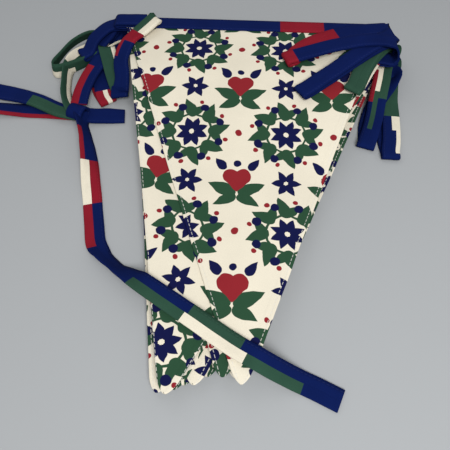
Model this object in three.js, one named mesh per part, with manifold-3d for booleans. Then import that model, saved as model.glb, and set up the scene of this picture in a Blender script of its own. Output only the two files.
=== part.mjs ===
// Fabric bunting, folded up for storage: ten printed cloth pennants stacked on one another,
// joined by one continuous bias tape that folds over every top edge, hangs in loops between
// the pennants, and is tied at the left with one long free end laid over the stack.
// Millimetres, +Z up. +X runs along the top edges to the right, +Y from the tips to the tops.
import * as THREE from 'three';
import Module from 'manifold-3d';

const wasm = await Module();
wasm.setup();

const CLEAR = 0.3;
const PENNANT = { width: 240, tip: 8, thick: 1.0 };
const TAPE = { width: 15, thick: 2.0, wall: 0.6, runPast: 2.2, joinPast: 1 };

// Heights in the stack. Under the tape runs the layers sit one run apart; towards the tips
// only the cloth keeps them apart.
const RUN_PITCH = 3.1;
const CLOTH_PITCH = 1.6;
const FLAT_FROM = 310;
const FALL_LENGTH = 120;
const LIFT_LENGTH = 20;
const RUN_THICK = 2 * (TAPE.wall + CLEAR) + PENNANT.thick;
const RUN_FLOOR = TAPE.wall + CLEAR;
const ARCH = 0.06;
const ARCH_HALF_WIDTH = 60;
const WAVE = 0.045;

// Lines shared by all the layers, so that they nest.
const ROW_STEP = 15;
const COLUMN_STEP = 24;

// The rounded tip: distance back from its end and share of the tip's width there.
const TIP_ROUND = [[4, 1], [1.4, 0.86], [0, 0.42]];

// The point of the layout under the middle of the lowest pennant that becomes the origin.
const REST = { x: 8, y: 240 };

// One row per pennant, lowest first: tip x, tip y, swing in degrees (tip to the left), length.
const STACK = [
  [-23.5, 55, 8.5, 320],
  [-11.5, 57, 6.5, 320],
  [6.4, 56, 5.6, 320],
  [-43, 47, 13, 320],
  [-26, 51, 9, 320],
  [-20, 51, 8, 320],
  [-32, 48, 10, 320],
  [-1.6, 55, 4.5, 320],
  [-37, 45, 11.5, 314],
  [10, 50, 2.7, 320],
].map(([x, y, swing, length]) => ({ x, y, swing: THREE.MathUtils.degToRad(swing), length }));

// The cloth of the pennants.

function ease(t) {
  const s = Math.min(Math.max(t, 0), 1);
  return s * s * (3 - 2 * s);
}

function corners(pennant) {
  const along = new THREE.Vector2(Math.cos(pennant.swing), -Math.sin(pennant.swing));
  const down = new THREE.Vector2(-Math.sin(pennant.swing), -Math.cos(pennant.swing));
  const tip = new THREE.Vector2(pennant.x, pennant.y);
  const middle = tip.clone().addScaledVector(down, -pennant.length);
  return {
    along,
    down,
    left: middle.clone().addScaledVector(along, -PENNANT.width / 2),
    right: middle.clone().addScaledVector(along, PENNANT.width / 2),
    tip,
    tipLeft: tip.clone().addScaledVector(along, -PENNANT.tip / 2),
    tipRight: tip.clone().addScaledVector(along, PENNANT.tip / 2),
  };
}

// Underside of layer k (0 is the lowest) at a point of the layout.
function underside(k, x, y) {
  const fall = ease((FLAT_FROM - y) / FALL_LENGTH);
  const pitch = RUN_PITCH + (CLOTH_PITCH - RUN_PITCH) * fall;
  const middle = -13 + (y - 50) * 0.119;
  const off = Math.min(((x - middle) / ARCH_HALF_WIDTH) ** 2, 1.6);
  const wave = WAVE * fall * (Math.sin(0.055 * x + 0.9) + Math.cos(0.042 * y + 0.03 * x));
  const lift = RUN_FLOOR * ease((y - FLAT_FROM + LIFT_LENGTH) / LIFT_LENGTH);
  return lift + k * (pitch * (1 - ARCH * fall * off) + wave);
}

function xOnLine(a, b, y) {
  return a.x + (b.x - a.x) * (y - a.y) / (b.y - a.y);
}

// A row of points across the pennant at one y: both edges and the shared columns between.
function rowAcross(c, y) {
  const from = xOnLine(c.left, c.tipLeft, y);
  const to = xOnLine(c.right, c.tipRight, y);
  const row = [new THREE.Vector2(from, y)];
  const first = Math.ceil((from + COLUMN_STEP / 4) / COLUMN_STEP) * COLUMN_STEP;
  for (let x = first; x < to - COLUMN_STEP / 4; x += COLUMN_STEP) {
    row.push(new THREE.Vector2(x, y));
  }
  row.push(new THREE.Vector2(to, y));
  return row;
}

function pennantMesh(k) {
  const c = corners(STACK[k]);
  const rows = [[c.left, c.right]];
  const lastY = Math.max(c.tipLeft.y, c.tipRight.y) + ROW_STEP / 2;
  for (let y = FLAT_FROM; y > lastY; y -= ROW_STEP) {
    rows.push(rowAcross(c, y));
  }
  for (const [back, share] of TIP_ROUND) {
    rows.push([-1, 1].map((side) => c.tip.clone()
      .addScaledVector(c.down, -back)
      .addScaledVector(c.along, side * share * PENNANT.tip / 2)));
  }

  const points = [];
  const index = rows.map((row) => row.map((p) => points.push(p) - 1));
  const above = [];
  for (let r = 0; r + 1 < index.length; r += 1) {
    const upper = index[r];
    const lower = index[r + 1];
    let i = 0;
    let j = 0;
    while (i + 1 < upper.length || j + 1 < lower.length) {
      const canUpper = i + 1 < upper.length;
      const canLower = j + 1 < lower.length;
      if (canUpper && (!canLower || points[upper[i + 1]].x <= points[lower[j + 1]].x)) {
        above.push([lower[j], upper[i + 1], upper[i]]);
        i += 1;
      } else {
        above.push([lower[j], lower[j + 1], upper[i]]);
        j += 1;
      }
    }
  }

  const count = points.length;
  const vertices = [];
  for (const lift of [PENNANT.thick, 0]) {
    for (const p of points) {
      vertices.push(p.x - REST.x, p.y - REST.y, underside(k, p.x, p.y) + lift);
    }
  }
  const triangles = [];
  for (const [a, b, d] of above) {
    triangles.push(a, b, d, a + count, d + count, b + count);
  }
  const border = [
    ...index.map((row) => row[0]),
    ...index.map((row) => row[row.length - 1]).reverse(),
  ];
  border.forEach((a, i) => {
    const b = border[(i + 1) % border.length];
    triangles.push(a + count, b + count, b, a + count, b, a);
  });
  const geometry = new THREE.BufferGeometry();
  geometry.setAttribute('position', new THREE.Float32BufferAttribute(vertices, 3));
  geometry.setIndex(triangles);
  return geometry;
}

// The bias tape.

function solid(vertices, triangles) {
  const mesh = new wasm.Mesh({
    numProp: 3,
    vertProperties: new Float32Array(vertices),
    triVerts: new Uint32Array(triangles),
  });
  return new wasm.Manifold(mesh);
}

// Sweeps a closed section through a list of frames; caps lists the quads that fill an end.
function sweep(frames, section, caps) {
  const n = section.length;
  const vertices = [];
  for (const f of frames) {
    for (const [s, t] of section) {
      const p = f.at.clone().addScaledVector(f.across, s).addScaledVector(f.out, t);
      vertices.push(p.x - REST.x, p.y - REST.y, Math.max(p.z, 0));
    }
  }
  const triangles = [];
  for (let i = 0; i + 1 < frames.length; i += 1) {
    for (let j = 0; j < n; j += 1) {
      const a = i * n + j;
      const b = i * n + (j + 1) % n;
      triangles.push(a, b, b + n, a, b + n, a + n);
    }
  }
  const last = (frames.length - 1) * n;
  for (const [a, b, c, d] of caps) {
    triangles.push(a, d, c, a, c, b);
    triangles.push(last + a, last + b, last + c, last + a, last + c, last + d);
  }
  return solid(vertices, triangles);
}

const runHeight = (k) => RUN_THICK / 2 + k * RUN_PITCH;

// A point of run k: u along the top edge from the left corner, v down from the top edge.
function onRun(k, u, v) {
  const c = corners(STACK[k]);
  const p = c.left.clone().addScaledVector(c.along, u).addScaledVector(c.down, v);
  return new THREE.Vector3(p.x, p.y, runHeight(k));
}

// The tape folded in half over the top edge of pennant k, a wall above and below the cloth.
function run(k) {
  const c = corners(STACK[k]);
  const across = new THREE.Vector3(c.down.x, c.down.y, 0);
  const out = new THREE.Vector3(0, 0, 1);
  const back = -(TAPE.wall + CLEAR);
  const front = back + TAPE.width;
  const slot = PENNANT.thick / 2 + CLEAR;
  const half = RUN_THICK / 2;
  const section = [
    [back, -half], [front, -half], [front, -slot], [-CLEAR, -slot],
    [-CLEAR, slot], [front, slot], [front, half], [back, half],
  ];
  const caps = [[0, 1, 2, 3], [0, 3, 4, 7], [4, 5, 6, 7]];
  const from = -TAPE.runPast;
  const to = PENNANT.width + TAPE.runPast;
  // the section turns from across to out, so the sweep goes from right to left
  const frames = [to, from].map((u) => ({ at: onRun(k, u, 0), across, out }));
  return sweep(frames, section, caps);
}

// A row where a ribbon joins run k at its left or right end.
function join(k, side) {
  const past = TAPE.joinPast;
  const u = side === 'left' ? -past : PENNANT.width + past;
  const p = onRun(k, u, TAPE.width / 2 - TAPE.wall - CLEAR);
  return [p.x, p.y, p.z, 90 - THREE.MathUtils.radToDeg(STACK[k].swing), 0];
}

// Rows of a fold where the ribbon turns back over itself: x, y and heading of the fold,
// height before it, height after it, direction of the tape's width.
function fold(x, y, heading, before, after, turn) {
  const angle = THREE.MathUtils.degToRad(heading);
  const radius = (after - before) / 2;
  const rows = [];
  const reach = Math.abs(radius);
  rows.push([x - 5 * Math.cos(angle), y - 5 * Math.sin(angle), before, turn, 0]);
  for (const step of [-90, -30, 30, 90]) {
    const a = THREE.MathUtils.degToRad(step);
    const forward = reach * Math.cos(a);
    rows.push([
      x + forward * Math.cos(angle),
      y + forward * Math.sin(angle),
      before + radius * (1 + Math.sin(a)),
      turn,
      0,
    ]);
  }
  rows.push([x - 5 * Math.cos(angle), y - 5 * Math.sin(angle), after, turn, 0]);
  return rows;
}

// A flat ribbon through rows of x, y, z, turn (direction of its width, degrees in plan) and
// lean (how far the width tips up, degrees).
function ribbon(rows) {
  const curve = new THREE.CatmullRomCurve3(
    rows.map(([x, y, z]) => new THREE.Vector3(x, y, z)), false, 'centripetal');
  const segments = rows.length - 1;
  const frames = [];
  const mix = (a, b, t) => THREE.MathUtils.degToRad(a + (b - a) * t);
  for (let i = 0; i < segments; i += 1) {
    const a = rows[i];
    const b = rows[i + 1];
    const length = Math.hypot(b[0] - a[0], b[1] - a[1], b[2] - a[2]);
    const steps = length < 4 ? 1 : length < 12 ? 2 : 3;
    for (let s = 0; s < steps + (i === segments - 1 ? 1 : 0); s += 1) {
      const t = s / steps;
      const turn = mix(a[3], b[3], t);
      const lean = mix(a[4], b[4], t);
      const ahead = curve.getTangent((i + t) / segments);
      const across = new THREE.Vector3(
        Math.cos(turn) * Math.cos(lean), Math.sin(turn) * Math.cos(lean), Math.sin(lean));
      across.addScaledVector(ahead, -across.dot(ahead)).normalize();
      const out = ahead.clone().cross(across).normalize();
      frames.push({ at: curve.getPoint((i + t) / segments), across, out });
    }
  }
  const w = TAPE.width / 2;
  const h = TAPE.thick / 2;
  return sweep(frames, [[-w, -h], [w, -h], [w, h], [-w, h]], [[0, 1, 2, 3]]);
}

// Loops between neighbouring pennants: which run they leave, which they enter, on which side,
// and rows of x, y, z, turn, lean on the way.
const LOOPS = [
  { from: 0, to: 1, side: 'right', rows: [
    [150, 345, 1.4, 76, 0],
    [155.5, 336, 5.2, 25, 30],
    [152, 320, 3.2, -18, 12],
    [144.5, 298, 1.0, -18, 0],
    [138.5, 272, 1.0, -10, 0],
    [137.5, 248, 1.0, -4, 0],
    ...fold(137.8, 233, 268, 1.0, 4.0, -3),
    [141, 250, 4.0, -6, 0],
    [144.5, 272, 4.0, -8, 0],
    [147.5, 298, 4.2, -8, 0],
    [152.5, 322, 5.5, -12, 15],
    [158.5, 341, 6.0, 15, 34],
    [156, 350, 4.6, 60, 0],
  ] },
  { from: 2, to: 3, side: 'right', rows: [
    [158.6, 353.4, 8.8, 84, 0],
    [158.2, 348.5, 13.2, 32, 45],
    [153, 338.8, 18.8, -20, 20],
    [143.8, 325, 19.8, -27, 0],
    [138.5, 307, 16.0, -25, 0],
    [133.5, 289, 10.5, -22, 0],
    [128.5, 270, 5.2, -20, 0],
    ...fold(118.5, 244.5, 248, 3.9, 1.0, -20),
    [124, 268, 1.0, -20, 0],
    [134.5, 292, 4.6, -26, 0],
    [147, 308, 9.0, -30, 20],
    [154.5, 318, 12.0, 10, 60],
    [151, 323.5, 11.0, 62, 30],
  ] },
  { from: 4, to: 5, side: 'right', rows: [
    [147, 341, 15.0, 82, 0],
    [148.6, 340.5, 19.0, 90, 0],
    [147.6, 340, 24.5, 100, 0],
    [143, 336.5, 30.4, 112, 0],
    [132, 325, 31.2, 126, 0],
    [119, 306, 31.4, 136, 0],
    ...fold(105.5, 280.5, 232, 29.8, 32.4, 142),
    [118, 305, 33.7, 136, 0],
    [131, 326, 33.5, 126, 0],
    [143, 340, 32.4, 110, 0],
    [150.5, 347, 27.5, 98, 0],
    [150.8, 346, 21.5, 88, 0],
    [148.6, 344, 17.8, 83, 0],
  ] },
  { from: 6, to: 7, side: 'right', rows: [
    [145, 334.5, 20.0, 80, 0],
    [148.5, 334.3, 22.5, 86, 0],
    [149.6, 335, 28.0, 95, 0],
    [147, 336, 33.0, 108, 0],
    [139, 332.5, 35.8, 120, 0],
    [122, 321, 36.0, 123, 0],
    [98, 303, 33.0, 124, 0],
    ...fold(63, 278.5, 214, 28.9, 31.9, 124),
    [94, 301, 35.6, 124, 0],
    [120, 321, 38.3, 123, 0],
    [138, 334.5, 38.4, 118, 0],
    [149, 343, 36.0, 108, 0],
    [151.6, 349, 29.5, 106, 0],
    [149.8, 355.3, 24.0, 104, 0],
  ] },
  { from: 8, to: 9, side: 'right', rows: [
    [147.5, 321, 26.2, 80, 0],
    [149.6, 322, 28.0, 84, 0],
    [150.2, 324, 33.0, 88, 0],
    [147.5, 327, 38.4, 93, 0],
    [140, 329.5, 40.6, 96, 0],
    [126, 330.5, 40.8, 100, 0],
    [98, 327.5, 38.2, 108, 0],
    ...fold(53, 313.5, 200, 36.0, 32.8, 110),
    [62.5, 324, 32.8, 124, 0],
    [76, 336.5, 32.7, 116, 0],
    [100, 347.5, 32.8, 109, 0],
    [126, 353.5, 33.0, 102, 0],
    [140, 354.6, 33.2, 95, 0],
    [146.6, 355.6, 32.9, 103, 0],
    [149.3, 355.9, 31.8, 108, 0],
    [149.1, 356.2, 30.4, 100, 0],
  ] },
  { from: 1, to: 2, side: 'left', rows: [
    [-103, 383.5, 4.6, 86, 0],
    [-117, 385, 6.5, 98, -35],
    [-133, 380, 8.0, 125, -58],
    [-147, 367, 8.0, 147, -62],
    [-155.5, 349, 8.0, 163, -66],
    [-160, 334, 8.0, 180, -74],
    [-157, 328.5, 8.0, 235, -85],
    [-150, 330, 8.0, 285, -95],
    [-134, 339, 8.2, 302, -105],
    [-117, 351, 8.5, 308, -115],
    [-103, 367, 9.0, 300, -140],
    [-93, 376.5, 8.0, 275, -174],
  ], turnedOver: true },
  { from: 3, to: 4, side: 'left', rows: [
    [-97, 380, 10.0, 84, 0],
    [-107, 375, 7.0, 118, 20],
    [-116, 357, 2.6, 155, 8],
    [-119.5, 335, 1.0, 172, 0],
    [-114.5, 312, 1.0, 196, 0],
    ...fold(-105, 295.5, 304, 1.0, 3.8, 213),
    [-112, 312, 4.2, 196, 0],
    [-117, 335, 4.4, 172, 0],
    [-113, 357, 6.4, 155, 8],
    [-106, 374, 11.5, 118, 20],
    [-101, 379, 13.6, 90, 0],
  ] },
  { from: 5, to: 6, side: 'left', rows: [
    [-103, 378, 16.6, 86, 0],
    [-111, 372, 13.5, 115, 12],
    [-122, 361, 9.5, 126, 0],
    ...fold(-131, 351, 218, 6.8, 9.6, 127),
    [-120, 361, 13.0, 124, 0],
    [-110, 371, 17.5, 112, 12],
    [-103, 376.5, 19.9, 88, 0],
  ] },
  { from: 7, to: 8, side: 'left', rows: [
    [-103, 375, 23.0, 90, 0],
    [-111, 364, 19.5, 120, 6],
    [-122, 350, 14.5, 126, 0],
    ...fold(-132, 344, 214, 11.5, 14.8, 126),
    [-122, 358, 20.0, 122, 0],
    [-108, 368.5, 25.5, 110, 0],
  ] },
];

// The lower free end: from the lowest run to the knot, once round as a bow, and a short stub.
const LOWER_TAIL = [
  [-104, 382.5, 1.3, 88, 0],
  [-118, 376, 1.2, 112, 0],
  [-133, 360, 4.4, 138, 24],
  [-144.5, 338, 7.7, 168, 70],
  [-144, 312, 7.8, 184, 76],
  [-139.5, 293, 7.2, 200, 60],
  [-131, 281, 5.0, 212, 10],
];
const BOW = [
  [-129, 279, 5.0, 50, 0],
  [-145, 283, 5.2, 62, 0],
  [-172, 297, 4.6, 68, 0],
  [-204, 306, 4.6, 78, 12],
  [-221, 307, 6.6, 100, 45],
  [-230, 300, 7.6, 178, 62],
  [-224, 291, 7.0, 245, 50],
  [-202, 287.5, 3.0, 266, 12],
  [-175, 286, 1.0, 268, 0],
  [-152, 284, 1.4, 264, 0],
  [-132.4, 280.6, 3.5, 262, 0],
];
const STUB = [
  [-130.4, 280.3, 4.2, 95, 0],
  [-116, 278, 3.6, 94, 8],
  [-102, 278.5, 2.8, 88, 10],
  [-88.5, 279.5, 1.2, 84, 0],
];

// The upper free end: back over the top run, down as a strap, a short U, up, down again to
// the knot, then the long end laid across the stack.
const UPPER_TAIL = [
  [-99.5, 368.5, 29.8, 87, 0],
  [-101, 368.5, 31.0, 87, 0],
  [-99.5, 368.5, 32.3, 87, 0],
  [-86, 367.8, 33.2, 88, 0],
  [-70, 367, 33.4, 90, 0],
  [-64.5, 366.8, 33.4, 104, 0],
  [-63, 367.4, 33.9, 115, 0],
  [-62.6, 367.6, 34.9, 120, 0],
  [-63.2, 367, 35.9, 126, 0],
  [-65, 364, 36.4, 142, 0],
  [-69, 358, 36.0, 152, 0],
  [-76.5, 350, 34.2, 157, -4],
  [-85.8, 338, 33.0, 164, -14],
  [-92.4, 325, 24.6, 175, -24],
  [-92, 313, 15.6, 183, -28],
  [-93.2, 303, 10.4, 187, -8],
  ...fold(-94, 298.5, 274, 8.6, 5.9, 189),
  [-99.5, 316, 8.4, 194, 0],
  [-105, 333, 13.6, 198, 0],
  [-109.3, 347, 17.6, 192, 0],
  [-110.2, 349.8, 17.0, 184, 0],
  [-110.5, 350.6, 16.0, 180, 0],
  [-110.9, 349.6, 15.0, 174, 0],
  [-112.6, 345.5, 13.8, 166, 0],
  [-117, 336, 12.0, 160, 0],
  [-123, 323, 10.0, 162, 0],
  [-127.5, 306, 8.4, 168, 0],
  [-129, 288, 7.2, 174, 0],
];
const LONG_END = [
  [-125.5, 281, 6.6, 176, 20],
  [-122.8, 268, 7.1, 180, 62],
  [-116.8, 249.4, 6.8, 186, 56],
  [-111.3, 227.4, 5.2, 190, 36],
  [-107.3, 206, 2.8, 192, 14],
  [-103.8, 188, 1.0, 194, 0],
  [-99.7, 168, 1.0, 195, 0],
  [-95.5, 152, 2.0, 205, 8],
  [-88.5, 141.5, 5.8, 222, 42],
  [-77.5, 131.5, 7.8, 232, 50],
  [-66, 123, 12.5, 235, 30],
  [-57, 116.5, 16.6, 235, 6],
  [-45, 108, 17.0, 235, 0],
  [-26, 95, 17.2, 235, 0],
  [-8, 82.5, 17.8, 236, 0],
  [9.4, 70.7, 18.0, 238, 0],
  [20, 65, 17.8, 240, 0],
  [30, 60.5, 13.0, 242, 0],
  [40, 57.2, 6.0, 244, 0],
  [50, 53.4, 1.5, 244, 0],
  [61, 48.2, 1.0, 245, 0],
  [72.6, 42.4, 1.0, 245, 0],
];

// The wrap of the knot: an upright ring of tape round the bundle.
const KNOT = { x: -128.5, y: 279, z: 6.4, wide: 7.0, high: 5.2, heading: 68, turn: 158 };

function knotRows() {
  const angle = THREE.MathUtils.degToRad(KNOT.heading);
  const rows = [];
  for (let step = -100; step <= 230; step += 30) {
    const a = THREE.MathUtils.degToRad(step);
    rows.push([
      KNOT.x + KNOT.wide * Math.cos(a) * Math.cos(angle),
      KNOT.y + KNOT.wide * Math.cos(a) * Math.sin(angle),
      KNOT.z + KNOT.high * Math.sin(a),
      KNOT.turn,
      0,
    ]);
  }
  return rows;
}

function tapeMesh() {
  const pieces = STACK.map((_, k) => run(k));
  for (const loop of LOOPS) {
    const start = join(loop.from, loop.side);
    const end = join(loop.to, loop.side);
    if (loop.turnedOver) {
      end[3] += 180;
      end[4] = 180;
    }
    pieces.push(ribbon([start, ...loop.rows, end]));
  }
  pieces.push(ribbon([join(0, 'left'), ...LOWER_TAIL]));
  pieces.push(ribbon([join(STACK.length - 1, 'left'), ...UPPER_TAIL]));
  pieces.push(ribbon(BOW), ribbon(STUB), ribbon(LONG_END), ribbon(knotRows()));

  // where ribbons press together the pockets between them fill up, so only the outside is kept
  const shells = pieces.reduce((sum, piece) => sum.add(piece)).decompose();
  const body = shells.reduce((a, b) => (a.volume() > b.volume() ? a : b));
  const mesh = body.getMesh();
  const geometry = new THREE.BufferGeometry();
  geometry.setAttribute('position', new THREE.BufferAttribute(mesh.vertProperties.slice(), 3));
  geometry.setIndex(new THREE.BufferAttribute(mesh.triVerts.slice(), 1));
  return geometry;
}

// The finished group.

const bunting = new THREE.Group();
bunting.name = 'fabric_bunting';

function addNode(name, geometry, color) {
  geometry.computeVertexNormals();
  const material = new THREE.MeshStandardMaterial({ color, roughness: 0.95, metalness: 0 });
  material.name = name;
  const mesh = new THREE.Mesh(geometry, material);
  mesh.name = name;
  bunting.add(mesh);
}

STACK.forEach((_, k) => {
  addNode(`pennant_${String(k + 1).padStart(2, '0')}`, pennantMesh(k), 0xefe6d3);
});
addNode('tape', tapeMesh(), 0x1f3f86);

export default bunting;
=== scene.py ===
"""Folded fabric bunting: ten printed pennants in a stack, one patchwork bias tape."""

import math

import bpy
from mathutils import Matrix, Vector, noise


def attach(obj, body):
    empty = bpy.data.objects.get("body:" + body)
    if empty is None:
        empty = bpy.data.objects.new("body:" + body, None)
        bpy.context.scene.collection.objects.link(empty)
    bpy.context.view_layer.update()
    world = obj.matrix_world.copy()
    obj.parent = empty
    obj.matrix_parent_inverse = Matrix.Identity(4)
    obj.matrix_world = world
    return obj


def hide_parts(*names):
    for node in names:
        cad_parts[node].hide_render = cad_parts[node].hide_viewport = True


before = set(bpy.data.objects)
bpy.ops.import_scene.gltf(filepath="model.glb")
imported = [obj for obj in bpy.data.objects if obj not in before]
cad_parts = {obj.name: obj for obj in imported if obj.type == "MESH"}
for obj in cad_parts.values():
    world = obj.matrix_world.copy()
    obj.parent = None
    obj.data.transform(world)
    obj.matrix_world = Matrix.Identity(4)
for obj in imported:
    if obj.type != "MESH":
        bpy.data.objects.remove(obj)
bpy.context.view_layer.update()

MM = 0.001
CLEAR = 0.3
WIDTH, LENGTH, TIP, THICK = 240.0, 320.0, 8.0, 1.0
TAPE_WIDTH, WALL = 15.0, 0.6
RUN_PITCH, CLOTH_PITCH = 3.1, 1.6
FLAT_FROM, FALL_LENGTH, LIFT_LENGTH = 310.0, 120.0, 20.0
ARCH, ARCH_HALF_WIDTH, WAVE = 0.06, 60.0, 0.045
RUN_THICK = 2 * (WALL + CLEAR) + THICK
REST_X, REST_Y = 8.0, 240.0

# One row per pennant, lowest first: tip x, tip y, swing in degrees, length.
STACK = [
    (-23.5, 55, 8.5, 320),
    (-11.5, 57, 6.5, 320),
    (6.4, 56, 5.6, 320),
    (-43, 47, 13, 320),
    (-26, 51, 9, 320),
    (-20, 51, 8, 320),
    (-32, 48, 10, 320),
    (-1.6, 55, 4.5, 320),
    (-37, 45, 11.5, 314),
    (10, 50, 2.7, 320),
]

CREAM = (0.755, 0.695, 0.56)
GREEN = (0.024, 0.069, 0.036)
NAVY = (0.0063, 0.0082, 0.0535)
RED = (0.252, 0.0187, 0.025)
TAPE_GREEN = (0.025, 0.0675, 0.0434)
TAPE_NAVY = (0.003, 0.0099, 0.073)
TAPE_RED = (0.234, 0.0113, 0.0226)


def place(x, y, z):
    return Vector(((x - REST_X) * MM, (y - REST_Y) * MM, z * MM))


def ease(t):
    s = min(max(t, 0.0), 1.0)
    return s * s * (3 - 2 * s)


# Materials: printed cotton and plain tape cotton.


class Nodes:
    """Short ways to add nodes to a tree and wire them."""

    def __init__(self, tree):
        self.tree = tree

    def add(self, kind, **values):
        node = self.tree.nodes.new(kind)
        for name, value in values.items():
            setattr(node, name, value)
        return node

    def wire(self, source, socket):
        if isinstance(source, bpy.types.NodeSocket):
            self.tree.links.new(source, socket)
        else:
            socket.default_value = source

    def math(self, operation, a, b=0.0, c=0.0, clamp=False):
        node = self.add("ShaderNodeMath", operation=operation, use_clamp=clamp)
        for value, socket in zip((a, b, c), node.inputs):
            self.wire(value, socket)
        return node.outputs[0]

    def mix(self, factor, a, b):
        node = self.add("ShaderNodeMix", data_type="RGBA")
        self.wire(factor, node.inputs[0])
        for value, index in ((a, 6), (b, 7)):
            if isinstance(value, bpy.types.NodeSocket):
                self.wire(value, node.inputs[index])
            else:
                node.inputs[index].default_value = (*value, 1.0)
        return node.outputs[2]

    def scale(self, colour, factor):
        node = self.add("ShaderNodeVectorMath", operation="SCALE")
        self.wire(colour, node.inputs[0])
        self.wire(factor, node.inputs["Scale"])
        return node.outputs[0]

    def noise(self, vector, scale, detail=2.0):
        node = self.add("ShaderNodeTexNoise")
        self.wire(vector, node.inputs["Vector"])
        node.inputs["Scale"].default_value = scale
        node.inputs["Detail"].default_value = detail
        return node.outputs["Fac"]


def leaf_group():
    """Mask of a pointed leaf: from a base point, at an angle, with a length and half width."""
    tree = bpy.data.node_groups.new("leaf", "ShaderNodeTree")
    for name in ("X", "Y", "Base X", "Base Y", "Angle", "Length", "Half"):
        tree.interface.new_socket(name, in_out="INPUT", socket_type="NodeSocketFloat")
    tree.interface.new_socket("Mask", in_out="OUTPUT", socket_type="NodeSocketFloat")
    n = Nodes(tree)
    given = n.add("NodeGroupInput").outputs
    dx = n.math("SUBTRACT", given["X"], given["Base X"])
    dy = n.math("SUBTRACT", given["Y"], given["Base Y"])
    cosine = n.math("COSINE", given["Angle"])
    sine = n.math("SINE", given["Angle"])
    along = n.math("ADD", n.math("MULTIPLY", dx, cosine), n.math("MULTIPLY", dy, sine))
    side = n.math("SUBTRACT", n.math("MULTIPLY", dy, cosine), n.math("MULTIPLY", dx, sine))
    t = n.math("DIVIDE", along, given["Length"], clamp=True)
    bulge = n.math("MULTIPLY", n.math("SQRT", t), n.math("SUBTRACT", 1.0, t))
    half = n.math("MULTIPLY", n.math("MULTIPLY", bulge, 2.6), given["Half"])
    room = n.math("SUBTRACT", half, n.math("ABSOLUTE", side))
    mask = n.math("MULTIPLY_ADD", room, 4.0, 0.5, clamp=True)
    inside = n.math("MULTIPLY", mask, n.math("GREATER_THAN", half, 0.02))
    n.wire(inside, n.add("NodeGroupOutput").inputs[0])
    return tree


def disc_group():
    """Mask of a ring or disc: centre, radius of its middle line and half thickness."""
    tree = bpy.data.node_groups.new("disc", "ShaderNodeTree")
    for name in ("X", "Y", "Centre X", "Centre Y", "Radius", "Half"):
        tree.interface.new_socket(name, in_out="INPUT", socket_type="NodeSocketFloat")
    tree.interface.new_socket("Mask", in_out="OUTPUT", socket_type="NodeSocketFloat")
    n = Nodes(tree)
    given = n.add("NodeGroupInput").outputs
    dx = n.math("SUBTRACT", given["X"], given["Centre X"])
    dy = n.math("SUBTRACT", given["Y"], given["Centre Y"])
    squares = n.math("ADD", n.math("MULTIPLY", dx, dx), n.math("MULTIPLY", dy, dy))
    away = n.math("ABSOLUTE", n.math("SUBTRACT", n.math("SQRT", squares), given["Radius"]))
    room = n.math("SUBTRACT", given["Half"], away)
    mask = n.math("MULTIPLY_ADD", room, 4.0, 0.5, clamp=True)
    n.wire(mask, n.add("NodeGroupOutput").inputs[0])
    return tree


LEAF = leaf_group()
DISC = disc_group()


def shape(n, group, x, y, *values):
    node = n.add("ShaderNodeGroup", node_tree=group)
    for value, socket in zip((x, y, *values), node.inputs):
        n.wire(value, socket)
    return node.outputs[0]


def union(n, masks):
    total = masks[0]
    for mask in masks[1:]:
        total = n.math("MAXIMUM", total, mask)
    return total


def polar(n, x, y, count, offset):
    """x and y turned into the first of count equal sectors."""
    angle = n.math("ADD", n.math("ARCTAN2", y, x), offset)
    half = math.pi / count
    local = n.math("WRAP", angle, half, -half)
    squares = n.math("ADD", n.math("MULTIPLY", x, x), n.math("MULTIPLY", y, y))
    radius = n.math("SQRT", squares)
    return (
        n.math("MULTIPLY", radius, n.math("COSINE", local)),
        n.math("MULTIPLY", radius, n.math("SINE", local)),
    )


def heart(n, x, y, size):
    """Mask of a heart: a square on its corner with a disc on each upper side."""
    lobe = shape(n, DISC, x, y, size / 2, size / 2, 0.0, size / math.sqrt(2))
    reach = n.math("ADD", n.math("ABSOLUTE", x), n.math("ABSOLUTE", y))
    square = n.math("MULTIPLY_ADD", n.math("SUBTRACT", size, reach), 3.0, 0.5, clamp=True)
    return n.math("MAXIMUM", lobe, square)


CELL_X, CELL_Y = 76.0, 88.0


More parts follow.
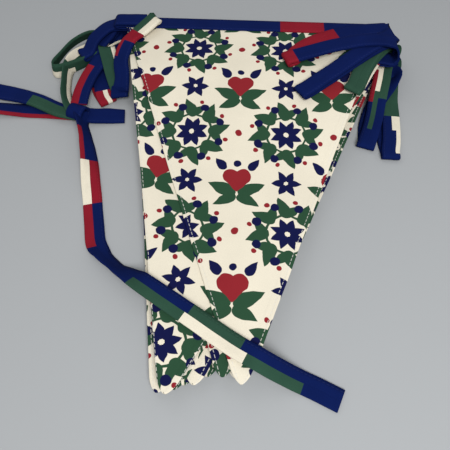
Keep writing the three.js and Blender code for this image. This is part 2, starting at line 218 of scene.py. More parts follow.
def print_colour(n, x, y):
    """The repeat: leaf wreaths round a flower, and hearts between leaves, in half drop."""
    ax = n.math("WRAP", x, CELL_X / 2, -CELL_X / 2)
    ay = n.math("WRAP", y, CELL_Y / 2, -CELL_Y / 2)
    bx = n.math("ABSOLUTE", n.math("WRAP", n.math("ADD", x, CELL_X / 2), CELL_X / 2, -CELL_X / 2))
    by = n.math("WRAP", n.math("ADD", y, CELL_Y / 2), CELL_Y / 2, -CELL_Y / 2)
    between = n.math("SUBTRACT", CELL_Y / 2, n.math("ABSOLUTE", ay))
    beside = n.math("SUBTRACT", CELL_X / 2, n.math("ABSOLUTE", ax))
    sx, sy = polar(n, ax, ay, 8, 0.0)
    tx, ty = polar(n, ax, ay, 8, math.pi / 8)
    fx, fy = polar(n, ax, between, 6, 0.0)
    radians = math.radians
    green = union(n, [
        shape(n, LEAF, sx, sy, 13.5, -1.5, radians(26), 19.0, 5.0),
        shape(n, LEAF, sx, sy, 16.5, -0.5, radians(-50), 12.0, 3.6),
        shape(n, DISC, ax, ay, 0.0, 0.0, 15.6, 0.9),
        shape(n, LEAF, bx, by, 1.0, -11.0, radians(24), 23.0, 5.4),
        shape(n, LEAF, bx, by, 0.5, -12.5, radians(-28), 19.0, 4.6),
    ])
    red = union(n, [
        heart(n, bx, by, 9.2),
        shape(n, DISC, sx, sy, 27.5, -6.6, 0.0, 1.9),
        shape(n, DISC, beside, ay, 0.0, 0.0, 0.0, 2.8),
    ])
    navy = union(n, [
        shape(n, LEAF, tx, ty, 2.0, 0.0, 0.0, 11.5, 3.3),
        shape(n, DISC, tx, ty, 24.0, 0.0, 0.0, 3.4),
        shape(n, LEAF, fx, fy, 1.5, 0.0, 0.0, 10.5, 3.0),
        shape(n, LEAF, bx, by, 9.0, 10.5, radians(52), 13.0, 3.6),
        shape(n, DISC, bx, by, 0.0, 16.0, 0.0, 2.7),
    ])
    colour = n.mix(green, CREAM, GREEN)
    colour = n.mix(red, colour, RED)
    return n.mix(navy, colour, NAVY)


def weave(n, x, y, strength):
    """Bump of a plain weave with about 2.4 threads a millimetre."""
    warp = n.math("SINE", n.math("MULTIPLY", x, 2 * math.pi * 1.2))
    weft = n.math("SINE", n.math("MULTIPLY", y, 2 * math.pi * 1.2))
    return n.math("MULTIPLY", n.math("MULTIPLY", warp, weft), strength)


def cloth_shader(material, n, colour, height):
    shader = material.node_tree.nodes["Principled BSDF"]
    n.wire(colour, shader.inputs["Base Color"])
    shader.inputs["Roughness"].default_value = 0.92
    shader.inputs["Specular IOR Level"].default_value = 0.06
    bump = n.add("ShaderNodeBump")
    bump.inputs["Strength"].default_value = 0.6
    bump.inputs["Distance"].default_value = 0.0003
    n.wire(height, bump.inputs["Height"])
    n.wire(bump.outputs[0], shader.inputs["Normal"])


def cloth_coordinates(n):
    """x and y on the flat cloth in millimetres."""
    coordinates = n.add("ShaderNodeUVMap", uv_map="flat")
    parts = n.add("ShaderNodeSeparateXYZ")
    n.wire(coordinates.outputs[0], parts.inputs[0])
    x = n.math("MULTIPLY", parts.outputs[0], 1000.0)
    y = n.math("MULTIPLY", parts.outputs[1], 1000.0)
    return coordinates.outputs[0], x, y


# Rows of stitches: distance in from the pennant's slanting edge and from the tape's open edge.
STITCH_IN, TAPE_STITCH_IN = 2.4, 1.9


def print_material(name, shift_x, shift_y):
    material = bpy.data.materials.new(name)
    material.use_nodes = True
    n = Nodes(material.node_tree)
    vector, x, y = cloth_coordinates(n)
    sway = n.math("MULTIPLY_ADD", n.noise(vector, 130.0), 2.4, -1.2)
    drift = n.math("MULTIPLY_ADD", n.noise(vector, 90.0, 1.0), 2.4, -1.2)
    px = n.math("ADD", n.math("ADD", x, sway), shift_x)
    py = n.math("ADD", n.math("ADD", y, drift), shift_y)
    colour = print_colour(n, px, py)

    # topstitching inside the slanting edges, in white thread
    half = n.math("MULTIPLY_ADD", y, (WIDTH - TIP) / 2 / LENGTH, WIDTH / 2)
    edge = n.math("MULTIPLY", n.math("SUBTRACT", half, n.math("ABSOLUTE", x)), 0.94)
    line = n.math("SUBTRACT", 0.26, n.math("ABSOLUTE", n.math("SUBTRACT", edge, STITCH_IN)))
    line = n.math("MULTIPLY_ADD", line, 6.0, 0.3, clamp=True)
    dash = n.math("PINGPONG", n.math("ADD", y, n.math("MULTIPLY", x, 0.2)), 1.6)
    dash = n.math("MULTIPLY_ADD", n.math("SUBTRACT", dash, 0.45), 4.0, 0.0, clamp=True)
    stitch = n.math("MULTIPLY", line, dash)
    colour = n.mix(n.math("MULTIPLY", stitch, 0.7), colour, (0.70, 0.68, 0.62))

    tone = n.math("MULTIPLY_ADD", n.noise(vector, 18.0, 4.0), 0.22, 0.88)
    fibre = n.math("MULTIPLY_ADD", n.noise(vector, 1500.0, 1.0), 0.20, 0.90)
    colour = n.scale(colour, n.math("MULTIPLY", tone, fibre))

    seam = n.math("MULTIPLY_ADD", n.math("SUBTRACT", 6.0, edge), 0.8, 0.5, clamp=True)
    height = n.math("ADD", weave(n, x, y, 0.22), n.math("MULTIPLY", seam, 0.8))
    height = n.math("SUBTRACT", height, n.math("MULTIPLY", line, 0.8))
    height = n.math("ADD", height, n.math("MULTIPLY", stitch, 0.5))
    height = n.math("ADD", height, n.math("MULTIPLY", n.noise(vector, 60.0, 3.0), 1.6))
    height = n.math("ADD", height, n.math("MULTIPLY", n.noise(vector, 14.0, 2.0), 9.0))
    cloth_shader(material, n, colour, height)
    return material


def tape_material(name, base):
    material = bpy.data.materials.new(name)
    material.use_nodes = True
    n = Nodes(material.node_tree)
    vector, x, y = cloth_coordinates(n)
    tone = n.math("MULTIPLY_ADD", n.noise(vector, 40.0, 4.0), 0.44, 0.76)
    fibre = n.math("MULTIPLY_ADD", n.noise(vector, 1400.0, 1.0), 0.24, 0.88)

    # a row of stitches inside the open edge, in thread a little lighter than the cloth
    off = n.math("ABSOLUTE", n.math("SUBTRACT", y, TAPE_STITCH_IN - TAPE_WIDTH / 2))
    line = n.math("MULTIPLY_ADD", n.math("SUBTRACT", 0.25, off), 6.0, 0.3, clamp=True)
    dash = n.math("PINGPONG", x, 1.5)
    dash = n.math("MULTIPLY_ADD", n.math("SUBTRACT", dash, 0.4), 4.0, 0.0, clamp=True)
    stitch = n.math("MULTIPLY", line, dash)
    thread = tuple(1.25 * c + 0.012 for c in base)
    colour = n.mix(n.math("MULTIPLY", stitch, 0.7), base, thread)
    colour = n.scale(colour, n.math("MULTIPLY", tone, fibre))

    middle = n.math("ABSOLUTE", y)
    groove = n.math("MULTIPLY_ADD", n.math("SUBTRACT", 0.35, middle), 3.0, 0.0, clamp=True)
    height = n.math("ADD", weave(n, x, y, 0.22), n.math("MULTIPLY", stitch, 0.5))
    height = n.math("SUBTRACT", height, n.math("MULTIPLY", line, 0.9))
    height = n.math("SUBTRACT", height, n.math("MULTIPLY", groove, 0.8))
    height = n.math("ADD", height, n.math("MULTIPLY", n.noise(vector, 120.0, 3.0), 1.8))
    cloth_shader(material, n, colour, height)
    return material


# Pennants.


def corners(k):
    x, y, swing, length = STACK[k]
    a = math.radians(swing)
    along = Vector((math.cos(a), -math.sin(a)))
    down = Vector((-math.sin(a), -math.cos(a)))
    tip = Vector((x, y))
    middle = tip - down * length
    return along, down, middle, length


def underside(k, x, y):
    fall = ease((FLAT_FROM - y) / FALL_LENGTH)
    pitch = RUN_PITCH + (CLOTH_PITCH - RUN_PITCH) * fall
    middle = -13 + (y - 50) * 0.119
    off = min(((x - middle) / ARCH_HALF_WIDTH) ** 2, 1.6)
    wave = WAVE * fall * (math.sin(0.055 * x + 0.9) + math.cos(0.042 * y + 0.03 * x))
    lift = (WALL + CLEAR) * ease((y - FLAT_FROM + LIFT_LENGTH) / LIFT_LENGTH)
    return lift + k * (pitch * (1 - ARCH * fall * off) + wave)


def add_mesh(name, points, faces, uvs, materials, indices=None):
    mesh = bpy.data.meshes.new(name)
    mesh.from_pydata([place(*p) for p in points], [], faces)
    layer = mesh.uv_layers.new(name="flat")
    for loop in mesh.loops:
        layer.data[loop.index].uv = uvs[loop.vertex_index]
    for material in materials:
        mesh.materials.append(material)
    for polygon in mesh.polygons:
        polygon.use_smooth = True
        if indices:
            polygon.material_index = indices[polygon.index]
    mesh.validate()
    mesh.update()
    obj = bpy.data.objects.new(name, mesh)
    bpy.context.scene.collection.objects.link(obj)
    return obj


ROWS, COLUMNS = 84, 34
TIP_ANGLES = (20, 40, 57, 70, 81, 88)

# Creases of the top pennant: their size, and where and how fast they fade towards its top.
TOP_CREASE, CREASED_FROM, CREASE_FADE = 1.1, 290.0, 40.0

# The pressed edge: offsets in from it, and shares of the cloth's thickness there.
EDGE_STEPS = (0.0, 0.25, 1.0)
EDGE_THICK = (0.30, 0.78, 1.0)

# Where the repeat lies on some pennants; on the others it is cut anywhere.
PRINT_AT = {2: (-57.0, 122.0), 8: (10.0, 20.0), 9: (122.0, 303.0)}


def spacing(half):
    """Offsets across a row, in millimetres, closer together at both edges."""
    inner = half - EDGE_STEPS[-1]
    middle = [-inner + 2 * inner * i / COLUMNS for i in range(COLUMNS + 1)]
    left = [-half + step for step in EDGE_STEPS[:-1]]
    return left + middle + [-value for value in reversed(left)]


def pennant(k):
    """A double sheet with pressed edges, on the folds of its layer of the stack."""
    along, down, middle, length = corners(k)
    cloth = 0.9 * THICK
    straight = length - TIP
    rows = [0.0, 0.4] + [1.0 + (straight - 1.0) * i / ROWS for i in range(ROWS + 1)]
    rows += [straight + TIP * math.sin(math.radians(a)) for a in TIP_ANGLES]
    upper, lower, uvs = [], [], []
    for r, v in enumerate(rows):
        half = (WIDTH - (WIDTH - TIP) * v / length) / 2
        if v > straight:
            half *= math.sqrt(1.0 - ((v - straight) / TIP) ** 2)
        offsets = spacing(half)
        for c, u in enumerate(offsets):
            wander = 0.5 * noise.noise(Vector((k * 7.0, v * 0.03, 1.0 if u > 0 else 2.0)))
            p = middle + along * (u + wander * abs(u) / half) + down * v
            side = min(c, len(offsets) - 1 - c, len(EDGE_THICK) - 1)
            end = min(r, len(rows) - 1 - r, len(EDGE_THICK) - 1)
            part = EDGE_THICK[min(side, end)] * cloth
            floor = underside(k, p.x, p.y)
            mid = floor + THICK / 2
            crease = 0.0
            if k == len(STACK) - 1:
                crease = TOP_CREASE * abs(noise.noise(Vector((p.x * 0.035, p.y * 0.022, 5.0))))
                crease *= ease((CREASED_FROM - p.y) / CREASE_FADE)
            elif k:
                crease = 0.05 * noise.noise(Vector((p.x * 0.06, p.y * 0.06, k * 3.0)))
            upper.append((p.x, p.y, mid + part / 2 + crease))
            lower.append((p.x, p.y, mid - part / 2 + crease))
            uvs.append((u * MM, -v * MM))
    across = len(spacing(10.0))
    count = len(upper)
    faces = []
    for r in range(len(rows) - 1):
        for c in range(across - 1):
            a = r * across + c
            b, d, e = a + 1, a + across, a + across + 1
            faces.append((a, d, e, b))
            faces.append((count + a, count + b, count + e, count + d))
    rim = list(range(across))
    rim += [r * across + across - 1 for r in range(1, len(rows))]
    rim += [(len(rows) - 1) * across + c for c in range(across - 2, -1, -1)]
    rim += [r * across for r in range(len(rows) - 2, 0, -1)]
    for i, a in enumerate(rim):
        b = rim[(i + 1) % len(rim)]
        faces.append((a, b, count + b, count + a))
    shift = PRINT_AT.get(k, (13.0 * k, 24.0 + 31.0 * k))
    material = print_material(f"print_{k + 1:02d}", *shift)
    return add_mesh(f"cloth_{k + 1:02d}", upper + lower, faces, uvs + uvs, [material])


for k in range(len(STACK)):
    obj = pennant(k)
    node = f"pennant_{k + 1:02d}"
    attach(obj, "root")
    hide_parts(node)

# Tape.


def run_height(k):
    return RUN_THICK / 2 + k * RUN_PITCH


def join(k, side, past=1.0):
    """Row where the tape leaves run k: x, y, z, turn, lean."""
    along, down, middle, _ = corners(k)
    u = WIDTH / 2 + past
    if side == "left":
        u = -u
    p = middle + along * u + down * (TAPE_WIDTH / 2 - WALL - CLEAR)
    return (p.x, p.y, run_height(k), 90 - STACK[k][2], 0)


def fold(x, y, heading, before, after, turn):
    """Rows of a fold where the tape turns back over itself."""
    angle = math.radians(heading)
    cosine, sine = math.cos(angle), math.sin(angle)
    radius = (after - before) / 2
    rows = [(x - 5 * cosine, y - 5 * sine, before, turn, 0)]
    for step in (-90, -30, 30, 90):
        a = math.radians(step)
        forward = abs(radius) * math.cos(a)
        rows.append((
            x + forward * cosine,
            y + forward * sine,
            before + radius * (1 + math.sin(a)),
            turn,
            0,
        ))
    rows.append((x - 5 * cosine, y - 5 * sine, after, turn, 0))
    return rows


# Rows of the tape: x, y, z, turn (direction of its width in plan), lean (its tilt).
LOOP_1_2 = [
    (150, 345, 1.4, 76, 0),
    (155.5, 336, 5.2, 25, 30),
    (152, 320, 3.2, -18, 12),
    (144.5, 298, 1.0, -18, 0),
    (138.5, 272, 1.0, -10, 0),
    (137.5, 248, 1.0, -4, 0),
    *fold(137.8, 233, 268, 1.0, 4.0, -3),
    (141, 250, 4.0, -6, 0),
    (144.5, 272, 4.0, -8, 0),
    (147.5, 298, 4.2, -8, 0),
    (152.5, 322, 5.5, -12, 15),
    (158.5, 341, 6.0, 15, 34),
    (156, 350, 4.6, 60, 0),
]
LOOP_3_4 = [
    (158.6, 353.4, 8.8, 84, 0),
    (158.2, 348.5, 13.2, 32, 45),
    (153, 338.8, 18.8, -20, 20),
    (143.8, 325, 19.8, -27, 0),
    (138.5, 307, 16.0, -25, 0),
    (133.5, 289, 10.5, -22, 0),
    (128.5, 270, 5.2, -20, 0),
    *fold(118.5, 244.5, 248, 3.9, 1.0, -20),
    (124, 268, 1.0, -20, 0),
    (134.5, 292, 4.6, -26, 0),
    (147, 308, 9.0, -30, 20),
    (154.5, 318, 12.0, 10, 60),
    (151, 323.5, 11.0, 62, 30),
]
LOOP_5_6 = [
    (147, 341, 15.0, 82, 0),
    (148.6, 340.5, 19.0, 90, 0),
    (147.6, 340, 24.5, 100, 0),
    (143, 336.5, 30.4, 112, 0),
    (132, 325, 31.2, 126, 0),
    (119, 306, 31.4, 136, 0),
    *fold(105.5, 280.5, 232, 29.8, 32.4, 142),
    (118, 305, 33.7, 136, 0),
    (131, 326, 33.5, 126, 0),
    (143, 340, 32.4, 110, 0),
    (150.5, 347, 27.5, 98, 0),
    (150.8, 346, 21.5, 88, 0),
    (148.6, 344, 17.8, 83, 0),
]
LOOP_7_8 = [
    (145, 334.5, 20.0, 80, 0),
    (148.5, 334.3, 22.5, 86, 0),
    (149.6, 335, 28.0, 95, 0),
    (147, 336, 33.0, 108, 0),
    (139, 332.5, 35.8, 120, 0),
    (122, 321, 36.0, 123, 0),
    (98, 303, 33.0, 124, 0),
    *fold(63, 278.5, 214, 28.9, 31.9, 124),
    (94, 301, 35.6, 124, 0),
    (120, 321, 38.3, 123, 0),
    (138, 334.5, 38.4, 118, 0),
    (149, 343, 36.0, 108, 0),
    (151.6, 349, 29.5, 106, 0),
    (149.8, 355.3, 24.0, 104, 0),
]
LOOP_9_10 = [
    (147.5, 321, 26.2, 80, 0),
    (149.6, 322, 28.0, 84, 0),
    (150.2, 324, 33.0, 88, 0),
    (147.5, 327, 38.4, 93, 0),
    (140, 329.5, 40.6, 96, 0),
    (126, 330.5, 40.8, 100, 0),
    (98, 327.5, 38.2, 108, 0),
    *fold(53, 313.5, 200, 36.0, 32.8, 110),
    (62.5, 324, 32.8, 124, 0),
    (76, 336.5, 32.7, 116, 0),
    (100, 347.5, 32.8, 109, 0),
    (126, 353.5, 33.0, 102, 0),
    (140, 354.6, 33.2, 95, 0),
    (146.6, 355.6, 32.9, 103, 0),
    (149.3, 355.9, 31.8, 108, 0),
    (149.1, 356.2, 30.4, 100, 0),
]
LOOP_2_3 = [
    (-103, 383.5, 4.6, 86, 0),
    (-117, 385, 6.5, 98, -35),
    (-133, 380, 8.0, 125, -58),
    (-147, 367, 8.0, 147, -62),
    (-155.5, 349, 8.0, 163, -66),
    (-160, 334, 8.0, 180, -74),
    (-157, 328.5, 8.0, 235, -85),
    (-150, 330, 8.0, 285, -95),
    (-134, 339, 8.2, 302, -105),
    (-117, 351, 8.5, 308, -115),
    (-103, 367, 9.0, 300, -140),
    (-93, 376.5, 8.0, 275, -174),
]
LOOP_4_5 = [
    (-97, 380, 10.0, 84, 0),
    (-107, 375, 7.0, 118, 20),
    (-116, 357, 2.6, 155, 8),
    (-119.5, 335, 1.0, 172, 0),
    (-114.5, 312, 1.0, 196, 0),
    *fold(-105, 295.5, 304, 1.0, 3.8, 213),
    (-112, 312, 4.2, 196, 0),
    (-117, 335, 4.4, 172, 0),
    (-113, 357, 6.4, 155, 8),
    (-106, 374, 11.5, 118, 20),
    (-101, 379, 13.6, 90, 0),
]
LOOP_6_7 = [
    (-103, 378, 16.6, 86, 0),
    (-111, 372, 13.5, 115, 12),
    (-122, 361, 9.5, 126, 0),
    *fold(-131, 351, 218, 6.8, 9.6, 127),
    (-120, 361, 13.0, 124, 0),
    (-110, 371, 17.5, 112, 12),
    (-103, 376.5, 19.9, 88, 0),
]
LOOP_8_9 = [
    (-103, 375, 23.0, 90, 0),
    (-111, 364, 19.5, 120, 6),
    (-122, 350, 14.5, 126, 0),
    *fold(-132, 344, 214, 11.5, 14.8, 126),
    (-122, 358, 20.0, 122, 0),
    (-108, 368.5, 25.5, 110, 0),
]
LOWER_TAIL = [
    (-104, 382.5, 1.3, 88, 0),
    (-118, 376, 1.2, 112, 0),
    (-133, 360, 4.4, 138, 24),
    (-144.5, 338, 7.7, 168, 70),
    (-144, 312, 7.8, 184, 76),
    (-139.5, 293, 7.2, 200, 60),
    (-131, 281, 5.0, 212, 10),
]
BOW = [
    (-129, 279, 5.0, 50, 0),
    (-145, 283, 5.2, 62, 0),
    (-172, 297, 4.6, 68, 0),
    (-204, 306, 4.6, 78, 12),
    (-221, 307, 6.6, 100, 45),
    (-230, 300, 7.6, 178, 62),
    (-224, 291, 7.0, 245, 50),
    (-202, 287.5, 3.0, 266, 12),
    (-175, 286, 1.0, 268, 0),
    (-152, 284, 1.4, 264, 0),
    (-132.4, 280.6, 3.5, 262, 0),
]
STUB = [
    (-130.4, 280.3, 4.2, 95, 0),
    (-116, 278, 3.6, 94, 8),
    (-102, 278.5, 2.8, 88, 10),
    (-88.5, 279.5, 1.2, 84, 0),
]
UPPER_TAIL = [
    (-99.5, 368.5, 29.8, 87, 0),
    (-101, 368.5, 31.0, 87, 0),
    (-99.5, 368.5, 32.3, 87, 0),
    (-86, 367.8, 33.2, 88, 0),
    (-70, 367, 33.4, 90, 0),
    (-64.5, 366.8, 33.4, 104, 0),
    (-63, 367.4, 33.9, 115, 0),
    (-62.6, 367.6, 34.9, 120, 0),
    (-63.2, 367, 35.9, 126, 0),
    (-65, 364, 36.4, 142, 0),
    (-69, 358, 36.0, 152, 0),
    (-76.5, 350, 34.2, 157, -4),
    (-85.8, 338, 33.0, 164, -14),
    (-92.4, 325, 24.6, 175, -24),
    (-92, 313, 15.6, 183, -28),
    (-93.2, 303, 10.4, 187, -8),
    *fold(-94, 298.5, 274, 8.6, 5.9, 189),
    (-99.5, 316, 8.4, 194, 0),
    (-105, 333, 13.6, 198, 0),
    (-109.3, 347, 17.6, 192, 0),
    (-110.2, 349.8, 17.0, 184, 0),
    (-110.5, 350.6, 16.0, 180, 0),
    (-110.9, 349.6, 15.0, 174, 0),
    (-112.6, 345.5, 13.8, 166, 0),
    (-117, 336, 12.0, 160, 0),
    (-123, 323, 10.0, 162, 0),
    (-127.5, 306, 8.4, 168, 0),
    (-129, 288, 7.2, 174, 0),
]
LONG_END = [
    (-125.5, 281, 6.6, 176, 20),
    (-122.8, 268, 7.1, 180, 62),
    (-116.8, 249.4, 6.8, 186, 56),
    (-111.3, 227.4, 5.2, 190, 36),
    (-107.3, 206, 2.8, 192, 14),
    (-103.8, 188, 1.0, 194, 0),
    (-99.7, 168, 1.0, 195, 0),
    (-95.5, 152, 2.0, 205, 8),
    (-88.5, 141.5, 5.8, 222, 42),
    (-77.5, 131.5, 7.8, 232, 50),
    (-66, 123, 12.5, 235, 30),
    (-57, 116.5, 16.6, 235, 6),
    (-45, 108, 17.0, 235, 0),
    (-26, 95, 17.2, 235, 0),
    (-8, 82.5, 17.8, 236, 0),
    (9.4, 70.7, 18.0, 238, 0),
    (20, 65, 17.8, 240, 0),
    (30, 60.5, 13.0, 242, 0),
    (40, 57.2, 6.0, 244, 0),
    (50, 53.4, 1.5, 244, 0),
    (61, 48.2, 1.0, 245, 0),
    (72.6, 42.4, 1.0, 245, 0),
]


# The wrap of the knot: an upright ring of tape round the bundle.
KNOT_X, KNOT_Y, KNOT_Z = -128.5, 279.0, 6.4
KNOT_WIDE, KNOT_HIGH = 7.0, 5.2
KNOT_HEADING, KNOT_TURN = 68, 158


def knot_rows():
    angle = math.radians(KNOT_HEADING)
    rows = []
    for step in range(-100, 231, 30):
        a = math.radians(step)
        rows.append((
            KNOT_X + KNOT_WIDE * math.cos(a) * math.cos(angle),
            KNOT_Y + KNOT_WIDE * math.cos(a) * math.sin(angle),
            KNOT_Z + KNOT_HIGH * math.sin(a),
            KNOT_TURN,
            0,
        ))
    return rows


# Patch colours along each stretch: share of its length reached, then the colours of its rows
# from the folded edge to the open edge, either two halves or four quarters.
N, G, C, R = 0, 1, 2, 3
PATCHES = {
    "lower_tail": [(0.45, G, C), (0.75, C, G), (1.0, G, N)],
    "loop_1_2": [
        (0.505, N, N),
        (0.60, C, N, N, N),
        (0.66, C, C, N, N),
        (0.92, G, G),
        (1.0, N, G),
    ],
    "loop_2_3": [(0.12, C, N), (0.48, G, G), (0.62, C, G), (0.80, G, G), (1.0, G, C)],
    "loop_3_4": [
        (0.176, G, G, G, C),
        (0.206, G, G, C, C),
        (0.304, G, G, C, R),
        (0.334, G, G, G, R),
        (0.355, N, N, G, R),
        (0.474, N, N, G, N),
        (1.0, N, N),
    ],
    "loop_4_5": [(0.40, N, N), (0.60, R, R, C, R), (1.0, N, N)],
    "loop_5_6": [(1.0, G, G)],
    "loop_6_7": [(0.25, C, N), (0.5, G, C), (0.7, R, G), (1.0, N, N)],
    "loop_7_8": [(1.0, N, N)],
    "loop_8_9": [(1.0, N, N)],
    "loop_9_10": [(0.465, N, N), (0.77, R, R), (1.0, N, N)],
    "upper_tail": [
        (0.13, N, N),
        (0.16, C, N),
        (0.265, G, C),
        (0.315, R, R),
        (0.37, R, N, N, N),
        (0.52, N, N),
        (0.62, G, G),
        (0.74, G, G, G, C),
        (0.83, N, N),
        (1.0, R, N),
    ],
    "bow": [(0.22, N, G, G, G), (0.48, N, N), (0.62, R, R), (1.0, R, N, N, N)],
    "stub": [(1.0, N, N)],
    "long_end": [
        (0.06, N, N),
        (0.16, R, N, N, N),
        (0.28, C, R),
        (0.39, R, N),
        (0.525, N, N),
        (0.655, G, N),
        (0.665, C, N),
        (0.785, C, G),
        (0.795, C, N),
        (0.925, G, N),
        (1.0, N, N),
    ],
    "knot": [(1.0, N, N)],
    "run": [(0.22, N, N), (0.4, R, N), (0.62, C, G), (0.8, G, R), (1.0, N, N)],
    "run_10": [(0.153, N, N), (0.227, N, N), (0.394, R, R), (1.0, N, N)],
}


def row_colour(patch, s):
    """Colour of the row of a patch at s across the tape, s = 0 on its middle line."""
    rows = patch[1:]
    share = min(max(0.5 - s / TAPE_WIDTH, 0.0), 0.999)
    return rows[int(share * len(rows))]


def catmull(p0, p1, p2, p3, t):
    """Centripetal spline from p1 to p2, and its direction."""
    d1 = max((p1 - p0).length ** 0.5, 1e-4)
    d2 = max((p2 - p1).length ** 0.5, 1e-4)
    d3 = max((p3 - p2).length ** 0.5, 1e-4)
    m1 = ((p1 - p0) / d1 - (p2 - p0) / (d1 + d2) + (p2 - p1) / d2) * d2
    m2 = ((p2 - p1) / d2 - (p3 - p1) / (d2 + d3) + (p3 - p2) / d3) * d2
    a = 2 * p1 - 2 * p2 + m1 + m2
    b = -3 * p1 + 3 * p2 - 2 * m1 - m2
    return ((a * t + b) * t + m1) * t + p1, (3 * a * t + 2 * b) * t + m1


def frames_along(rows, step=2.2):
    """Frames of a ribbon through its rows: point, across, out, gap and colours."""
    points = [Vector(row["at"]) for row in rows]
    points = [2 * points[0] - points[1], *points, 2 * points[-1] - points[-2]]
    frames = []
    for i in range(len(rows) - 1):
        a, b = rows[i], rows[i + 1]
        length = (points[i + 2] - points[i + 1]).length
        steps = max(1, round(length / step))
        last = i == len(rows) - 2
        for s in range(steps + (1 if last else 0)):
            t = s / steps
            at, ahead = catmull(*points[i:i + 4], t)
            ahead.normalize()
            turn = math.radians(a["leave"][0] + (b["arrive"][0] - a["leave"][0]) * t)
            lean = math.radians(a["leave"][1] + (b["arrive"][1] - a["leave"][1]) * t)
            across = Vector((
                math.cos(turn) * math.cos(lean),
                math.sin(turn) * math.cos(lean),
                math.sin(lean),
            ))
            across = (across - ahead * across.dot(ahead)).normalized()
            frames.append({
                "at": at,
                "across": across,
                "out": ahead.cross(across).normalized(),
                "gap": a["gap"] + (b["gap"] - a["gap"]) * t,
                "stretch": a["stretch"],
            })
    return frames


def as_rows(rows, stretch, gap=0.12):
    return [
        {"at": r[:3], "arrive": r[3:], "leave": r[3:], "gap": gap, "stretch": stretch}
        for r in rows
    ]


def main_rows():
    """The tape from the knot through every run and loop and back to the knot."""
    slot = THICK / 2 + CLEAR
    rows = as_rows(reversed(LOWER_TAIL), "lower_tail")
    loops = [
        ("right", LOOP_1_2, "loop_1_2"),
        ("left", LOOP_2_3, "loop_2_3"),
        ("right", LOOP_3_4, "loop_3_4"),
        ("left", LOOP_4_5, "loop_4_5"),
        ("right", LOOP_5_6, "loop_5_6"),
        ("left", LOOP_6_7, "loop_6_7"),
        ("right", LOOP_7_8, "loop_7_8"),
        ("left", LOOP_8_9, "loop_8_9"),
        ("right", LOOP_9_10, "loop_9_10"),
        ("left", UPPER_TAIL, "upper_tail"),
    ]
    for k, (far, after, name) in enumerate(loops):
        near = "left" if far == "right" else "right"
        run = "run_10" if k == 9 else "run"
        ends = [join(k, near), join(k, near, -20.0), join(k, far, -20.0), join(k, far)]
        ends = as_rows(ends, run, slot)
        if k == 2:
            turn = ends[0]["arrive"][0]
            ends[0]["arrive"] = (turn + 180, 180)
        ends[-1]["stretch"] = name
        rows += ends + as_rows(after, name)
    return rows


def strip_section(gap):
    """The strip folded in half: across, out, and width on the flat cloth, as one closed line."""
    half = TAPE_WIDTH / 2
    full = gap + WALL
    section = [(s, -full) for s in (-half, -half / 2, -0.35, 0.35, half / 2, half - 0.6)]
    section += [(half - 0.15, -0.62 * full), (half, 0.0), (half - 0.15, 0.62 * full)]
    section += [(s, full) for s in (half - 0.6, half / 2, 0.35, -0.35, -half / 2, -half)]
    section += [(-half + 0.05, gap), (half - 0.7, gap), (half - 0.7, -gap), (-half + 0.05, -gap)]
    return section


# How far the walls puff out at each point across, and where the upper wall's points begin.
PUFF = (0.0, 0.12, 0.0, 0.0, 0.12, 0.0)
UPPER_WALL = 9

# At an end, the outer points of the section and the inner point that each one is joined to.
OUTER_POINTS = range(15)
INNER_POINTS = (18,) * 4 + (17,) * 4 + (16,) * 4 + (15,) * 3


def strip(rows, seed):
    """Vertices, faces, flat coordinates and face colours of one closed strip."""
    frames = frames_along(rows)
    lengths = [0.0]
    for a, b in zip(frames, frames[1:]):
        lengths.append(lengths[-1] + (b["at"] - a["at"]).length)
    points, uvs, faces, colours = [], [], [], []
    runs_seen = []
    for f, reach in zip(frames, lengths):
        if not runs_seen or runs_seen[-1][0] != f["stretch"]:
            runs_seen.append([f["stretch"], reach, reach])
        runs_seen[-1][2] = reach
    current = 0
    n = len(strip_section(0.1))
    for i, (f, reach) in enumerate(zip(frames, lengths)):
        while runs_seen[current][2] < reach or runs_seen[current][0] != f["stretch"]:
            current += 1
        name, low, high = runs_seen[current]
        share = (reach - low) / max(high - low, 1e-6)
        patch = next(p for p in PATCHES[name] if share <= p[0] + 1e-6)
        loose = 1.0 if f["gap"] < 0.3 else 0.25
        for j, (s, t) in enumerate(strip_section(f["gap"])):
            crimp = noise.noise(Vector((reach * 0.09, s * 0.12, seed)))
            wobble = noise.noise(Vector((reach * 0.05, 4.0 + seed, 0.0)))
            if j < len(PUFF):
                t -= PUFF[j]
            elif UPPER_WALL <= j < UPPER_WALL + len(PUFF):
                t += PUFF[j - UPPER_WALL]
            p = f["at"] + f["across"] * (s + 0.25 * loose * wobble)
            p += f["out"] * (t + 0.22 * loose * crimp)
            points.append((p.x, p.y, max(p.z, 0.0)))
            uvs.append((reach * MM, s * MM))
        if i + 1 < len(frames):
            for j in range(n):
                a, b = i * n + j, i * n + (j + 1) % n
                faces.append((a, b, b + n, a + n))
                s_mid = (strip_section(0.1)[j][0] + strip_section(0.1)[(j + 1) % n][0]) / 2
                colours.append(row_colour(patch, s_mid))
    last = (len(frames) - 1) * n
    # an end is closed by quads between the outer and inner outlines of the fold
    for base, flip in ((0, True), (last, False)):
        for j in OUTER_POINTS[:-1]:
            corner_points = (j, j + 1, INNER_POINTS[j + 1], INNER_POINTS[j])
            face = list(dict.fromkeys(base + point for point in corner_points))
            if flip:
                face.reverse()
            faces.append(tuple(face))
            colours.append(patch[1])
    return points, faces, uvs, colours, lengths[-1]


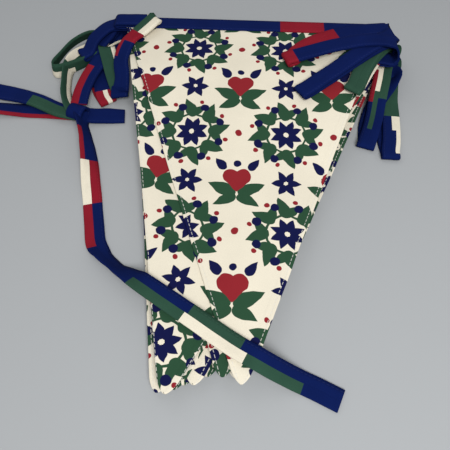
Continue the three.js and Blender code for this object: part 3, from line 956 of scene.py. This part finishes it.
pieces = [
    main_rows(),
    as_rows(BOW, "bow"),
    as_rows(STUB, "stub"),
    as_rows(LONG_END, "long_end"),
    as_rows(knot_rows(), "knot"),
]
points, faces, uvs, colours, tape_length = [], [], [], [], 0.0
for seed, rows in enumerate(pieces):
    some_points, some_faces, some_uvs, some_colours, length = strip(rows, 3.0 * seed)
    shift = len(points)
    points += some_points
    uvs += some_uvs
    faces += [tuple(v + shift for v in face) for face in some_faces]
    colours += some_colours
    tape_length += length
materials = [
    tape_material("tape_navy", TAPE_NAVY),
    tape_material("tape_green", TAPE_GREEN),
    tape_material("tape_cream", CREAM),
    tape_material("tape_red", TAPE_RED),
]
tape = add_mesh("patchwork_tape", points, faces, uvs, materials, colours)
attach(tape, "root")
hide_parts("tape")
print("tape length mm", round(tape_length))

# Stage, light and camera.

FLOOR_GREY = (0.355, 0.368, 0.376, 1.0)
WORLD_WHITE, WORLD_STRENGTH = (0.97, 0.98, 1.0, 1.0), 0.43
CAMERA_HEIGHT, CAMERA_DOWN = 300.0, 60.5

floor_material = bpy.data.materials.new("floor")
floor_material.use_nodes = True
floor_shader = floor_material.node_tree.nodes["Principled BSDF"]
floor_shader.inputs["Base Color"].default_value = FLOOR_GREY
floor_shader.inputs["Roughness"].default_value = 0.85
bpy.ops.mesh.primitive_plane_add(size=6.0, location=(0.0, 0.0, -0.0002))
table = bpy.context.object
table.name = "table"
table.data.materials.append(floor_material)

world = bpy.data.worlds.new("studio")
world.use_nodes = True
world.node_tree.nodes["Background"].inputs[0].default_value = WORLD_WHITE
world.node_tree.nodes["Background"].inputs[1].default_value = WORLD_STRENGTH
bpy.context.scene.world = world


def area_light(name, at, aim, power, size):
    data = bpy.data.lights.new(name, "AREA")
    data.energy = power
    data.size = size
    light = bpy.data.objects.new(name, data)
    light.location = at
    light.rotation_euler = (Vector(aim) - Vector(at)).to_track_quat("-Z", "Y").to_euler()
    bpy.context.scene.collection.objects.link(light)


area_light("key", (0.18, -0.66, 0.85), (0.0, 0.0, 0.0), 10.0, 0.5)
area_light("fill", (-0.6, 0.9, 1.3), (0.0, 0.0, 0.0), 2.5, 0.9)
bpy.context.scene.view_settings.view_transform = "Standard"

camera_data = bpy.data.cameras.new("camera")
camera_data.lens = 36.0
camera_data.sensor_width = 36.0
camera_data.clip_start = 0.01
camera = bpy.data.objects.new("camera", camera_data)
camera.location = place(0.0, 0.0, CAMERA_HEIGHT)
camera.rotation_euler = (math.radians(90.0 - CAMERA_DOWN), 0.0, 0.0)
bpy.context.scene.collection.objects.link(camera)
bpy.context.scene.camera = camera
